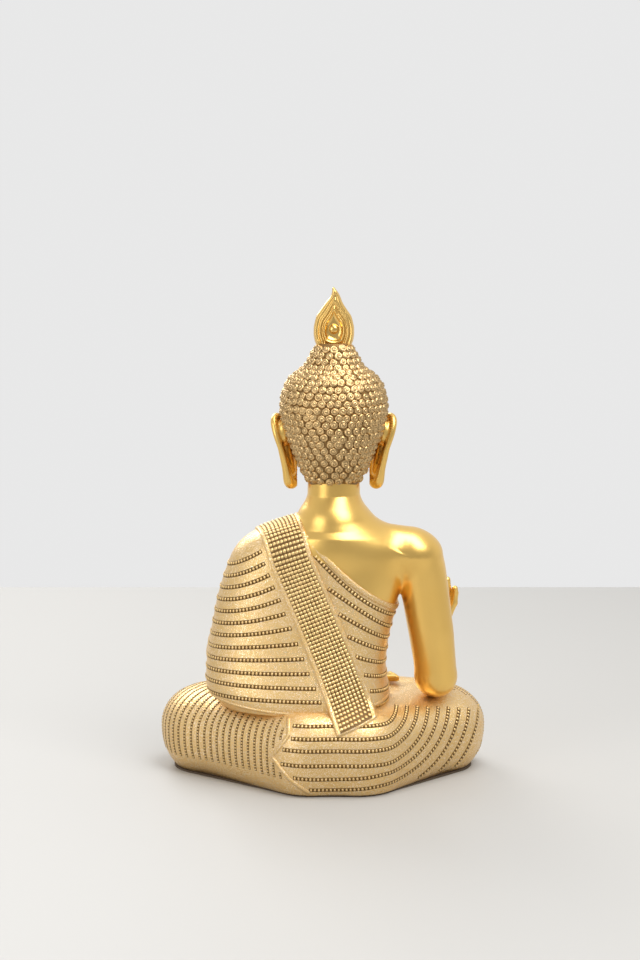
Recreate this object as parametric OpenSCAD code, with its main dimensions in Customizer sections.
// Seated Buddha statue, a hollow casting in gold, pinned and glued from separate pieces.
// The figure faces -Y. Its own left side, which the robe covers, is +X. Z is up.
// The origin is on the underside, below the axis of the head.

/* [Lap] */
// Width over both knees
lap_w = 197; // [165:1:240]
// Height from the table to the seat face, where the trunk stands
lap_h = 48; // [40:1:58]
// How far the lap's middle lies to the figure's left
lap_shift = 6.5; // [0:0.5:10]
// Radius of a knee seen from above
knee_r = 34; // [28:1:40]
// How far the knees lie in front of the axis
knee_y = 26; // [20:1:32]
// How far the seat reaches behind the axis
seat_back = 56; // [48:1:67]
// How far the shins reach in front of the axis
shin_front = 65; // [58:1:78]
// How far the lap's side draws in at the table
foot_in = 5; // [3:0.5:8]
// How far the lap's side draws in at the seat face
top_in = 16; // [12:0.5:20]

/* [Trunk] */
// Height from the seat face to the neck joint
trunk_h = 118; // [98:1:142]
// Half width of the trunk at the bare shoulder, before the arm's cut
trunk_w = 47; // [40:1:56]
// Half width over the covered arm
sleeve_w = 78; // [66:1:94]
// Greatest reach of the back behind the axis
back_d = 42; // [36:1:50]
// Greatest reach of the chest in front of the axis
chest_d = 31; // [26:1:38]
// Radius of the neck at its joint
neck_r = 19; // [16:0.5:23]

/* [Head] */
// Height from the neck joint to the crown's flat
head_h = 81; // [68:1:97]
// Width of the face over the temples
head_w = 55; // [46:1:66]
// Depth of the head from brow to back
head_d = 61; // [51:1:73]
// Thickness of the layer of curls
hair_t = 4.5; // [3.5:0.5:6]
// Height of the topknot
topknot_h = 18; // [14:1:22]
// Radius of the topknot at the crown
topknot_r = 19; // [16:0.5:21]
// Height of the flame
flame_h = 35; // [28:1:42]
// Width of the flame
flame_w = 24; // [20:0.5:29]
// Thickness of the flame
flame_t = 9; // [7:0.5:11]
// Length of an ear
ear_l = 45; // [37:1:50]

/* [Arms and hands] */
// Distance from the axis to the glued face of the bare shoulder
shoulder_cut = 43; // [38:1:44]
// How far the bare arm's outer side reaches from the axis
arm_reach = 76; // [70:1:82]
// Half the thickness of the upper arm
arm_r = 15; // [12.5:0.5:17]
// Radius of the arm at the elbow
elbow_r = 11.5; // [10:0.5:13]
// Radius of the wrist
wrist_r = 7.5; // [6.5:0.5:9]
// Length of a hand from wrist to finger tips
hand_l = 38; // [32:1:45]
// Width of a hand over the palm
hand_w = 19; // [16:0.5:23]
// Thickness of a palm
palm_t = 8; // [7:0.5:10]
// Length of a foot
foot_l = 52; // [44:1:60]

/* [Robe] */
// Width of the jewelled sash
sash_w = 25; // [20:0.5:30]
// Height of the sash above the robe
sash_t = 1.8; // [1.2:0.1:2.5]
// Radius of the robe's corded hem
hem_r = 1.3; // [0.9:0.1:1.8]

/* [Casting and base] */
// Wall of the hollow castings
wall = 4; // [3:0.5:5.5]
// Thickness of the seat face and of the trunk's floor
floor_t = 8; // [7:0.5:10]
// Thickness of the felt under the base
felt_t = 1; // [0.8:0.1:2]
// Thickness of the plate that closes the base
plate_t = 3; // [2:0.5:5]
// Gap between a piece and what it is glued into
glue_gap = 0.2; // [0.1:0.05:0.4]
// Radius of the filling hole in the base plate
plug_r = 9; // [7:0.5:12]
// Height of the plaster ballast
ballast_h = 20; // [12:1:26]

/* [Pins] */
// Radius of a waist pin
waist_pin_r = 3; // [2.5:0.25:3.5]
// Distance of a waist pin from the axis
waist_pin_x = 20; // [15:1:24]
// Radius of the neck pin
neck_pin_r = 6; // [5:0.5:8]
// Radius of the flame's pin
flame_pin_r = 1.5; // [1:0.25:2]
// Radius of the shoulder pin
shoulder_pin_r = 4; // [3:0.5:5]
// Radius of the elbow pin
elbow_pin_r = 2.5; // [2:0.25:3.5]
// Radius of a wrist pin
wrist_pin_r = 1.5; // [1:0.25:2]
// Radial clearance of a pin in its hole
pin_gap = 0.1; // [0.05:0.05:0.2]

/* [Hidden] */

GOLD = "#d9b15a";
ROBE = "#cfae74";
SEG = 32;           // points round a casting
LIMB_SEG = 20;      // points round a limb
HEM_SEG = 8;        // points round the hem's cord
BIG = 400;          // longer than the whole statue
EPS = 0.01;

// Levels of the joints above the table
seat_z = lap_h;
neck_z = seat_z + trunk_h;
crown_z = neck_z + head_h;
flame_z = crown_z + topknot_h;

// Runs of points ------------------------------------------------------------

// A ring of a super-ellipse whose four half widths differ
function oval(z, right, left, back, front, power, seg = SEG) = [
    for (i = [0:seg - 1])
        let (c = cos(360 * i / seg), s = sin(360 * i / seg))
        [
            (c > 0 ? left : right) * sign(c) * pow(abs(c), 2 / power),
            (s > 0 ? back : front) * sign(s) * pow(abs(s), 2 / power),
            z
        ]
];

function backwards(list) = [for (i = [len(list) - 1:-1:0]) list[i]];

function unit(v) = v / norm(v);

// The value at t in a list of stations whose first number is t, in straight passages
function at(t, rows, k, i = 0) =
    t <= rows[0][0] ? rows[0][k]
    : i >= len(rows) - 1 ? rows[len(rows) - 1][k]
    : t <= rows[i + 1][0]
        ? let (u = (t - rows[i][0]) / (rows[i + 1][0] - rows[i][0]))
          rows[i][k] + (rows[i + 1][k] - rows[i][k]) * u
        : at(t, rows, k, i + 1);

// A closed skin over rings that all have the same number of points
module loft(rings) {
    n = len(rings[0]);
    last = len(rings) - 1;
    points = [for (r = rings) each r];
    sides = [
        for (k = [0:last - 1], i = [0:n - 1])
            let (j = (i + 1) % n)
            each [
                [k * n + i, (k + 1) * n + i, (k + 1) * n + j],
                [k * n + i, (k + 1) * n + j, k * n + j]
            ]
    ];
    caps = [
        [for (i = [0:n - 1]) i],
        [for (i = [n - 1:-1:0]) last * n + i]
    ];
    polyhedron(points = points, faces = concat(sides, caps), convexity = 6);
}

// A round limb along a path; "side" is a direction across the whole path,
// and the first and last rings may be given the direction that they face
module limb(path, radii, side, first = undef, last = undef, seg = LIMB_SEG) {
    n = len(path) - 1;
    rings = [
        for (k = [0:n])
            let (
                way = k == 0 && first != undef ? first
                    : k == n && last != undef ? last
                    : path[min(k + 1, n)] - path[max(k - 1, 0)],
                d = unit(way),
                u = unit(side - d * (side * d)),
                v = cross(d, u)
            )
            [for (i = [0:seg - 1])
                path[k] + radii[k] * (cos(360 * i / seg) * u + sin(360 * i / seg) * v)]
    ];
    loft(rings);
}

// A cylinder from one point to another
module rod(from, to, r) {
    d = to - from;
    tilt = acos(d[2] / norm(d));
    turn = atan2(d[1], d[0]);
    translate(from)
        rotate([0, tilt, turn])
            cylinder(r = r, h = norm(d), $fn = 48);
}

// Lap -----------------------------------------------------------------------

hip_x = 14;         // half the straight run at the back of the seat
hip_r = 29;         // radius of the seat's back corners
shin_r = 30;        // radius of the crossed shins' front
LAP_MID = 0.52;     // share of the lap's height where it is widest
hole_end = 1;       // floor left under a waist pin's hole
pin_end = 1.5;      // and under the pin itself
plug_lip = 2;       // width and thickness of the plug's lip

LAP_CORNERS = [
    [[lap_shift + lap_w / 2 - knee_r, -knee_y], knee_r],
    [[hip_x, seat_back - hip_r], hip_r],
    [[-hip_x, seat_back - hip_r], hip_r],
    [[lap_shift - lap_w / 2 + knee_r, -knee_y], knee_r],
    [[lap_shift, shin_r - shin_front], shin_r]
];

function lap_inset(z) =
    let (u = z / lap_h)
    u < LAP_MID
        ? foot_in * pow((LAP_MID - u) / LAP_MID, 2)
        : top_in * pow((u - LAP_MID) / (1 - LAP_MID), 3);

// The outline round the five corners, drawn in by "inset"
function lap_outline(inset) = [
    for (i = [0:2 * SEG - 1])
        let (
            d = [cos(180 * i / SEG), sin(180 * i / SEG)],
            reach = [for (c = LAP_CORNERS) c[0] * d + c[1]],
            k = search(max(reach), reach)[0],
            c = LAP_CORNERS[k]
        )
        c[0] + (c[1] - inset) * d
];

// The hollow under the seat face has upright walls
function cavity_inset(gap) = lap_inset(felt_t) + wall + gap;

function lap_ring(z, inset) = [for (p = lap_outline(inset)) [p[0], p[1], z]];

function lap_levels(low, high) = [for (i = [0:9]) low + (high - low) * (1 - pow(1 - i / 9, 1.6))];

module waist_holes() {
    for (x = [-waist_pin_x, waist_pin_x])
        translate([x, 0, seat_z - floor_t + hole_end])
            cylinder(r = waist_pin_r + pin_gap, h = 2 * (floor_t - hole_end), $fn = 48);
}

module base_felt() {
    color("#5b4a35")
        linear_extrude(felt_t)
            polygon(lap_outline(lap_inset(0) + wall / 4));
}

module base_plate() {
    color("#b9b3a6")
        difference() {
            translate([0, 0, felt_t])
                linear_extrude(plate_t)
                    polygon(lap_outline(cavity_inset(glue_gap)));
            translate([0, 0, felt_t - EPS])
                cylinder(r = plug_r, h = plate_t + 2 * EPS, $fn = 64);
        }
}

module fill_plug() {
    flange = plug_r + plug_lip;
    color("#3a3a3a") {
        translate([0, 0, felt_t])
            cylinder(r = plug_r, h = plate_t, $fn = 64);
        translate([0, 0, felt_t + plate_t])
            cylinder(r = flange, h = plug_lip, $fn = 64);
    }
}

module ballast() {
    low = felt_t + plate_t + plug_lip + glue_gap;
    rows = [low, low + ballast_h / 2, low + ballast_h];
    color("#e8e4da")
        loft([for (z = rows) lap_ring(z, cavity_inset(1))]);
}

module lap_shell() {
    outer = [for (z = lap_levels(felt_t, lap_h)) lap_ring(z, lap_inset(z))];
    inner_top = lap_h - floor_t;
    inner = [
        for (z = [felt_t, inner_top])
            lap_ring(z, cavity_inset(0))
    ];
    color(ROBE)
        difference() {
            loft(concat(backwards(inner), outer));
            waist_holes();
        }
}

module waist_pins() {
    color("#c8c8c8")
        for (x = [-waist_pin_x, waist_pin_x])
            translate([x, 0, seat_z - floor_t + pin_end])
                cylinder(r = waist_pin_r, h = 2 * (floor_t - pin_end), $fn = 48);
}

// Trunk ---------------------------------------------------------------------

// Share of the height, then shares of trunk_w, sleeve_w, back_d and chest_d, and the power
TRUNK = [
    [0.00, 0.71, 0.93, 1.00, 0.84, 2.3],
    [0.06, 0.70, 0.99, 0.97, 0.82, 2.3],
    [0.12, 0.69, 1.00, 0.93, 0.81, 2.4],
    [0.22, 0.68, 0.99, 0.87, 0.82, 2.4],
    [0.32, 0.71, 0.97, 0.82, 0.86, 2.4],
    [0.42, 0.77, 0.94, 0.78, 0.94, 2.4],
    [0.50, 0.87, 0.92, 0.75, 0.99, 2.4],
    [0.60, 0.97, 0.88, 0.72, 1.00, 2.5],
    [0.70, 1.00, 0.84, 0.68, 0.97, 2.5],
    [0.78, 1.00, 0.79, 0.62, 0.88, 2.5],
    [0.84, 0.97, 0.72, 0.56, 0.76, 2.4],
    [0.89, 0.90, 0.63, 0.49, 0.66, 2.3],
    [0.93, 0.76, 0.49, 0.44, 0.58, 2.2]
];

function trunk_outline(t, inset) = [
    at(t, TRUNK, 1) * trunk_w - inset,
    at(t, TRUNK, 2) * sleeve_w - inset,
    at(t, TRUNK, 3) * back_d - inset,
    at(t, TRUNK, 4) * chest_d - inset,
    at(t, TRUNK, 5)
];

function trunk_ring(t, inset = 0) =
    let (w = trunk_outline(t, inset))
    oval(seat_z + t * trunk_h, min(w[0], shoulder_cut + 4 - 2 * inset), w[1], w[2], w[3], w[4]);

NECK_BACK = 0.82;    // the neck's reach behind the axis, as a share of its half width
NECK_FRONT = 0.88;   // and in front

function neck_ring(z, r) = oval(z, r, r, r * NECK_BACK, r * NECK_FRONT, 2);

// A ring where the neck spreads into the shoulders, "wide" across and "deep" front to back
function neck_base(t, wide, deep) = oval(
    seat_z + t * trunk_h,
    neck_r * wide,
    neck_r * wide,
    neck_r * NECK_BACK * deep,
    neck_r * NECK_FRONT * deep,
    2
);

module trunk_skin(inset, low, high) {
    loft([for (row = TRUNK) if (row[0] >= low && row[0] <= high) trunk_ring(row[0], inset)]);
}

module torso_shell() {
    shares = [for (row = TRUNK) row[0]];
    outer = concat(
        [for (t = shares) trunk_ring(t)],
        [
            neck_base(0.95, 1.42, 1.12),
            neck_base(0.975, 1.14, 1.02),
            neck_ring(neck_z, neck_r)
        ]
    );
    bore = neck_pin_r - 1;
    low = floor_t / trunk_h;
    inner = concat(
        [neck_ring(neck_z, bore), neck_ring(seat_z + 0.93 * trunk_h, bore)],
        [for (t = backwards(shares)) if (t > low && t <= 0.84) trunk_ring(t, wall)],
        [trunk_ring(low, wall)]
    );
    color(ROBE)
        difference() {
            loft(concat(outer, inner));
            translate([-BIG - shoulder_cut, -BIG / 2, 0])
                cube([BIG, BIG, BIG]);
            waist_holes();
            translate([0, 0, seat_z + 0.9 * trunk_h])
                cylinder(r = neck_pin_r + pin_gap, h = trunk_h, $fn = 64);
            rod(shoulder_pin_from, shoulder_pin_to, shoulder_pin_r + pin_gap);
        }
}

// A place on the trunk: height share t, turn a about the axis, and how far it stands off
function trunk_place(t, a, off) =
    let (
        w = trunk_outline(t, -off),
        c = cos(a),
        s = sin(a)
    )
    [
        (c > 0 ? w[1] : w[0]) * sign(c) * pow(abs(c), 2 / w[4]),
        (s > 0 ? w[2] : w[3]) * sign(s) * pow(abs(s), 2 / w[4]),
        seat_z + t * trunk_h
    ];

// The turn about the axis at which the trunk's back has the given x
function turn_at(t, x) =
    let (
        w = trunk_outline(t, 0),
        half = x > 0 ? w[1] : w[0],
        c = pow(min(0.98, abs(x) / half), w[4] / 2)
    )
    x > 0 ? acos(c) : 180 - acos(c);

// Sash: a ribbon on the back, from the covered shoulder down to the waist
SASH_TOP = 0.91;
SASH_LOW = 0.03;
SASH_ROWS = 22;
SASH_COLS = 8;
SASH_OFF = 0.3;      // the sash stands this far off the robe between its corners
sash_top_x = 33;
sash_low_x = -10;
// A level cut across the slanting ribbon is longer than the ribbon's width
sash_level_w = sash_w * sqrt(1 + pow((sash_top_x - sash_low_x) / ((SASH_TOP - SASH_LOW) * trunk_h), 2));

function sash_row(k, off) =
    let (
        u = k / SASH_ROWS,
        t = SASH_TOP + (SASH_LOW - SASH_TOP) * u,
        mid = sash_top_x + (sash_low_x - sash_top_x) * u
    )
    [for (j = [0:SASH_COLS])
        let (x = mid + sash_level_w * (j / SASH_COLS - 0.5))
        trunk_place(t, turn_at(t, x), off)];

module sash() {
    rings = [
        for (k = [0:SASH_ROWS])
            concat(sash_row(k, sash_t), backwards(sash_row(k, SASH_OFF)))
    ];
    color(GOLD)
        loft(rings);
}

// Hem: a cord on the back, from beside the sash's top down to under the bare arm
HEM_ROWS = 24;
hem_top_x = 18;
hem_low_x = -38;
HEM_TOP = 0.89;
HEM_LOW = 0.53;
HEM_SAG = 0.05;
HEM_OFF = 0.15;      // the cord stands this far off the robe between its corners

module robe_hem() {
    path = [
        for (k = [0:HEM_ROWS])
            let (
                u = k / HEM_ROWS,
                t = HEM_TOP + (HEM_LOW - HEM_TOP) * u - HEM_SAG * sin(180 * u),
                x = hem_top_x + (hem_low_x - hem_top_x) * u
            )
            trunk_place(t, turn_at(t, x), hem_r + HEM_OFF)
    ];
    color(GOLD)
        limb(path, [for (p = path) hem_r], [0, 1, 0], seg = HEM_SEG);
}

// Bare arm ------------------------------------------------------------------

shoulder_z = seat_z + 0.75 * trunk_h;
elbow_lift = 1.5;    // gap between the elbow and the thigh below it
elbow_fore = 4;      // how far the elbow comes forward of the shoulder
wrist_in = 3;        // how far the wrist is out from the elbow
wrist_fore = 46;     // how far the wrist is in front of the axis
wrist_up = 35;       // height of the wrist above the seat face
arm_pin_reach = 7;   // half the length of the elbow pin
wrist_pin_reach = 5; // how far a wrist pin goes into its forearm
ARM_POWER = 2.1;     // power of the arm's sections, a little squarer than round
arm_low = seat_z + elbow_lift;
arm_top = seat_z + 0.92 * trunk_h;
elbow_x = elbow_r - arm_reach;
ELBOW = [elbow_x, -elbow_r, arm_low + elbow_r];
WRIST = [elbow_x - wrist_in, -wrist_fore, seat_z + wrist_up];
ELBOW_WAY = unit([-0.5, -6, 3]);
WRIST_WAY = unit([-0.3, -1.5, 7]);

shoulder_pin_from = [-shoulder_cut + wall + 3, 0, shoulder_z];
shoulder_pin_to = [-shoulder_cut - 9, 0, shoulder_z];

// Share of the arm's height, then the outer side's share of arm_reach,
// and half the thickness and half the depth as shares of arm_r
ARM = [
    [0.00, 0.87, 0.20, 0.20],
    [0.02, 0.93, 0.50, 0.45],
    [0.05, 0.97, 0.71, 0.65],
    [0.12, 1.00, 0.85, 0.77],
    [0.21, 0.985, 0.88, 0.84],
    [0.33, 0.97, 0.94, 0.90],
    [0.44, 0.955, 0.99, 0.97],
    [0.58, 0.93, 1.02, 1.07],
    [0.72, 0.90, 1.09, 1.17],
    [0.82, 0.875, 1.08, 1.20],
    [0.905, 0.81, 0.93, 1.13],
    [0.95, 0.73, 0.72, 0.95],
    [0.98, 0.645, 0.43, 0.70],
    [1.00, 0.58, 0.13, 0.30]
];

module elbow_hole() {
    reach = arm_pin_reach + 1;
    rod(ELBOW - reach * ELBOW_WAY, ELBOW + reach * ELBOW_WAY, elbow_pin_r + pin_gap);
}

// The hole for a wrist's pin, from inside the forearm out through its end
module wrist_hole(place, way) {
    rod(place - (wrist_pin_reach + 1) * way, place + way, wrist_pin_r + pin_gap);
}

module upper_arm_skin() {
    loft([
        for (row = ARM)
            let (half = row[2] * arm_r, deep = row[3] * arm_r)
            [
                for (p = oval(0, half, half, deep, deep, ARM_POWER, LIMB_SEG))
                    p + [
                        half - row[1] * arm_reach,
                        1 - elbow_fore * pow(1 - row[0], 3),
                        arm_low + row[0] * (arm_top - arm_low)
                    ]
            ]
    ]);
}

module right_upper_arm() {
    color(GOLD)
        difference() {
            upper_arm_skin();
            translate([-shoulder_cut, -BIG / 2, 0])
                cube([BIG, BIG, BIG]);
            rod(shoulder_pin_from, shoulder_pin_to, shoulder_pin_r + pin_gap);
            elbow_hole();
        }
}

module shoulder_pin() {
    color("#c8c8c8")
        rod(shoulder_pin_from + [-0.5, 0, 0], shoulder_pin_to + [0.5, 0, 0], shoulder_pin_r);
}

module elbow_pin() {
    color("#c8c8c8")
        rod(ELBOW - arm_pin_reach * ELBOW_WAY, ELBOW + arm_pin_reach * ELBOW_WAY, elbow_pin_r);
}

module right_forearm() {
    span = WRIST - ELBOW;
    // From inside the elbow, under the straight line to the wrist, as an arm hangs
    path = [
        ELBOW + [0, elbow_r / 2, -1],
        ELBOW + 0.33 * span + [-0.5, 0, -2.5],
        ELBOW + 0.66 * span + [-0.5, 0, -3],
        ELBOW + 0.88 * span + [0, 0, -1.5],
        WRIST
    ];
    radii = [elbow_r * 0.9, elbow_r * 0.95, elbow_r * 0.84, wrist_r * 1.08, wrist_r];
    color(GOLD)
        difference() {
            limb(path, radii, [1, 0, 0], ELBOW_WAY, WRIST_WAY);
            upper_arm_skin();
            elbow_hole();
            wrist_hole(WRIST, WRIST_WAY);
        }
}

// Hands ---------------------------------------------------------------------

// A hand with its wrist at the origin, fingers up, palm to -Y, thumb towards +X
module hand() {
    palm_h = hand_l * 0.5;
    finger_r = hand_w / 8;
    difference() {
        union() {
            hull() {
                translate([0, 0, glue_gap])
                    cylinder(r = wrist_r * 0.95, h = 1, $fn = 32);
                for (x = [-1, 1])
                    translate([x * (hand_w / 2 - palm_t / 2), 0, palm_h - palm_t / 2])
                        sphere(r = palm_t / 2, $fn = 16);
            }
            for (k = [0:3]) {
                x = (k - 1.5) * 2.05 * finger_r;
                reach = hand_l - finger_r * (1 + pow(abs(k - 1.2), 1.5) * 0.6);
                hull() {
                    translate([x, 0, palm_h - palm_t / 2])
                        sphere(r = finger_r, $fn = 16);
                    translate([x * 0.95, -1, reach])
                        sphere(r = finger_r * 0.85, $fn = 16);
                }
            }
            hull() {
                translate([hand_w * 0.3, -1, palm_h * 0.35])
                    sphere(r = finger_r * 1.2, $fn = 16);
                translate([hand_w * 0.62, -3, palm_h * 0.95])
                    sphere(r = finger_r, $fn = 16);
            }
        }
        translate([0, 0, -EPS])
            cylinder(r = wrist_pin_r + pin_gap, h = 6, $fn = 48);
    }
}

hand_lift = 19;      // height of the left wrist's middle above the seat face
hand_side = 28;      // how far the left wrist is to the side of the lap's middle
hand_fore = 38;      // how far the left wrist is in front of the axis
sleeve_in = 16;      // how far the forearm starts inside the covered sleeve
LEFT_WRIST = [lap_shift + hand_side, -hand_fore, seat_z + hand_lift];
LEFT_WAY = unit([-9, -3, -1]);
SLEEVE = [sleeve_w - sleeve_in, -sleeve_in, seat_z + hand_lift + 5];

module right_hand() {
    color(GOLD)
        translate(WRIST)
            rotate([12, -2, 0])
                hand();
}

module left_hand() {
    color(GOLD)
        translate(LEFT_WRIST)
            rotate([0, 0, 17])
                rotate([0, -95, 0])
                    rotate([0, 0, 90])
                        hand();
}

module wrist_pins() {
    color("#c8c8c8") {
        rod(WRIST - wrist_pin_reach * WRIST_WAY, WRIST - EPS * WRIST_WAY, wrist_pin_r);
        rod(LEFT_WRIST - wrist_pin_reach * LEFT_WAY, LEFT_WRIST - EPS * LEFT_WAY, wrist_pin_r);
    }
}

module left_forearm() {
    span = LEFT_WRIST - SLEEVE;
    // From inside the sleeve, bowed outward and forward, to the wrist
    path = [
        SLEEVE,
        SLEEVE + 0.4 * span + [3, -5, 0],
        SLEEVE + 0.75 * span + [3, -4, 0],
        LEFT_WRIST
    ];
    radii = [elbow_r, elbow_r * 0.9, wrist_r * 1.1, wrist_r];
    color(GOLD)
        difference() {
            limb(path, radii, [0, 0, 1], undef, LEFT_WAY);
            trunk_skin(0, 0, 0.7);
            wrist_hole(LEFT_WRIST, LEFT_WAY);
        }
}

// Feet ----------------------------------------------------------------------

// A foot with its sole up, heel at the origin, toes towards +X, resting on z = 0
module foot() {
    toe_r = foot_l / 16;
    heel_r = foot_l / 8;
    // The ball of the foot: how far along, how far to each side, and its radius
    ball_x = foot_l * 0.62;
    ball_y = foot_l * 0.11;
    ball_r = heel_r * 0.6;
    hull() {
        translate([0, 0, heel_r * 0.75])
            sphere(r = heel_r * 0.75, $fn = 24);
        for (y = [-1, 1])
            translate([ball_x, y * ball_y, ball_r])
                sphere(r = ball_r, $fn = 24);
    }
    for (k = [0:4])
        hull() {
            translate([ball_x, (k - 2) * 1.25 * toe_r, ball_r])
                sphere(r = toe_r * 0.8, $fn = 16);
            translate([foot_l * (0.84 - 0.025 * k), (k - 2) * 1.5 * toe_r, ball_r])
                sphere(r = toe_r * (1 - 0.06 * k), $fn = 16);
        }
}

FOOT_GAP = 0.1;      // the feet lie this far above the seat face
// Heels, with x counted from the lap's middle, and the way that the toes point
RIGHT_HEEL = [16, -48];
RIGHT_TOES = 18;
LEFT_HEEL = [-18, -45];
LEFT_TOES = 168;

module right_foot() {
    color(GOLD)
        translate([lap_shift + RIGHT_HEEL[0], RIGHT_HEEL[1], seat_z + FOOT_GAP])
            rotate([0, 0, RIGHT_TOES])
                foot();
}

module left_foot() {
    color(GOLD)
        translate([lap_shift + LEFT_HEEL[0], LEFT_HEEL[1], seat_z + FOOT_GAP])
            rotate([0, 0, LEFT_TOES])
                foot();
}

// Head ----------------------------------------------------------------------

// Share of the height, then shares of half the width and of the depth behind and in front
HEAD = [
    [0.09, 0.60, 0.25, 0.26],
    [0.14, 0.63, 0.25, 0.38],
    [0.20, 0.72, 0.29, 0.49],
    [0.30, 0.85, 0.38, 0.515],
    [0.42, 0.95, 0.44, 0.52],
    [0.54, 0.99, 0.47, 0.53],
    [0.66, 1.00, 0.47, 0.52],
    [0.78, 0.96, 0.44, 0.48],
    [0.87, 0.83, 0.37, 0.40],
    [0.92, 0.66, 0.28, 0.30]
];
HAIR_LOW = 0.23;     // share of the head's height where the hair begins at the nape

function head_ring(row, off) = oval(
    neck_z + row[0] * head_h,
    row[1] * head_w / 2 + off,
    row[1] * head_w / 2 + off,
    row[2] * head_d + off,
    row[3] * head_d + off,
    2.2
);

function head_rings() = concat(
    [neck_ring(neck_z, neck_r), neck_ring(neck_z + 0.05 * head_h, neck_r * 0.9)],
    [for (row = HEAD) head_ring(row, 0)]
);

module head_shell() {
    bore = neck_pin_r - 1;
    inner = concat(
        [neck_ring(neck_z, bore), neck_ring(neck_z + 0.14 * head_h, bore)],
        [for (row = HEAD) if (row[0] > 0.18 && row[0] < 0.9) head_ring(row, -wall)]
    );
    color(GOLD)
        difference() {
            loft(concat(backwards(inner), head_rings()));
            translate([0, 0, neck_z - EPS])
                cylinder(r = neck_pin_r + pin_gap, h = 0.14 * head_h, $fn = 64);
        }
}

module neck_pin() {
    low = seat_z + 0.92 * trunk_h;
    color("#c8c8c8")
        translate([0, 0, low])
            cylinder(r = neck_pin_r, h = neck_z - low + 0.13 * head_h, $fn = 64);
}

// The face and the front of the head, seen from the side, that the curls leave free
module face_window() {
    nape_y = 0.07 * head_d;
    brow_y = -0.42 * head_d;
    translate([-BIG / 2, 0, 0])
        rotate([90, 0, 90])
            linear_extrude(BIG)
                polygon([
                    [-BIG, neck_z - 1],
                    [nape_y, neck_z - 1],
                    [nape_y, neck_z + 0.68 * head_h],
                    [brow_y, neck_z + 0.87 * head_h],
                    [-BIG, neck_z + 0.87 * head_h]
                ]);
}

module hair_cap() {
    rows = [for (row = HEAD) if (row[0] > HAIR_LOW) row];
    low = [HAIR_LOW, 0.76, 0.32, 0.5];
    crown = [1, 0.62, 0.25, 0.27];
    color("#c9a45c")
        difference() {
            loft([for (row = concat([low], rows, [crown])) head_ring(row, hair_t)]);
            loft(head_rings());
            face_window();
        }
}

module ear(side) {
    top_z = neck_z + 0.69 * head_h;
    // Share of the length, then distance from the axis, half thickness and half depth
    // as shares of half the head's width, so the ears stay rooted in a wider head
    rows = [
        [0.00, 0.96, 0.044, 0.055],
        [0.10, 0.97, 0.095, 0.14],
        [0.30, 1.00, 0.110, 0.153],
        [0.55, 1.04, 0.130, 0.175],
        [0.80, 1.13, 0.160, 0.233],
        [0.93, 1.19, 0.125, 0.196],
        [1.00, 1.21, 0.051, 0.095]
    ];
    half = head_w / 2;
    ear_y = -0.05 * head_d;
    color(GOLD)
        difference() {
            loft([
                for (row = rows)
                    let (thick = row[2] * half, deep = row[3] * half)
                    [
                        for (p = oval(0, thick, thick, deep, deep, 2, LIMB_SEG))
                            p + [side * row[1] * half, ear_y, top_z - ear_l * (1 - row[0])]
                    ]
            ]);
            loft(head_rings());
        }
}

module right_ear() {
    ear(-1);
}

module left_ear() {
    ear(1);
}

flame_pin_l = 5.5;   // half the length of the flame's pin

module topknot() {
    color("#c9a45c")
        difference() {
            translate([0, 0, crown_z])
                rotate_extrude($fn = 64)
                    polygon(concat(
                        [[0, 0]],
                        [for (a = [0:10:80])
                            [topknot_r * (0.45 + 0.55 * cos(a)), topknot_h * sin(a) / sin(80)]],
                        [[0, topknot_h]]
                    ));
            translate([0, 0, flame_z - flame_pin_l - 0.5])
                cylinder(r = flame_pin_r + pin_gap, h = flame_pin_l + 1, $fn = 48);
        }
}

module finial_pin() {
    color("#c8c8c8")
        translate([0, 0, flame_z - flame_pin_l])
            cylinder(r = flame_pin_r, h = 2 * flame_pin_l, $fn = 48);
}

// A drop whose round belly is low and whose tip is a point
module flame_finial() {
    belly = flame_w / 2;
    outline = [
        for (a = [0:7.5:352.5])
            let (up = (1 - cos(a)) / 2)
            [
                -belly * sin(a) * pow(sin(a / 2), 0.9) * 1.25,
                flame_h * (1 - up)
            ]
    ];
    color("#e3bd63")
        difference() {
            union() {
                translate([0, flame_t / 2, flame_z])
                    rotate([90, 0, 0])
                        linear_extrude(flame_t)
                            polygon(outline);
                translate([0, 0, flame_z])
                    cylinder(r1 = topknot_r * 0.5, r2 = flame_t / 2, h = 5, $fn = 64);
            }
            translate([0, 0, flame_z - EPS])
                cylinder(r = flame_pin_r + pin_gap, h = flame_pin_l + 0.5, $fn = 48);
        }
}

base_felt();
base_plate();
fill_plug();
ballast();
lap_shell();
waist_pins();
torso_shell();
sash();
robe_hem();
right_upper_arm();
shoulder_pin();
elbow_pin();
right_forearm();
wrist_pins();
right_hand();
left_forearm();
left_hand();
right_foot();
left_foot();
neck_pin();
head_shell();
hair_cap();
right_ear();
left_ear();
topknot();
finial_pin();
flame_finial();
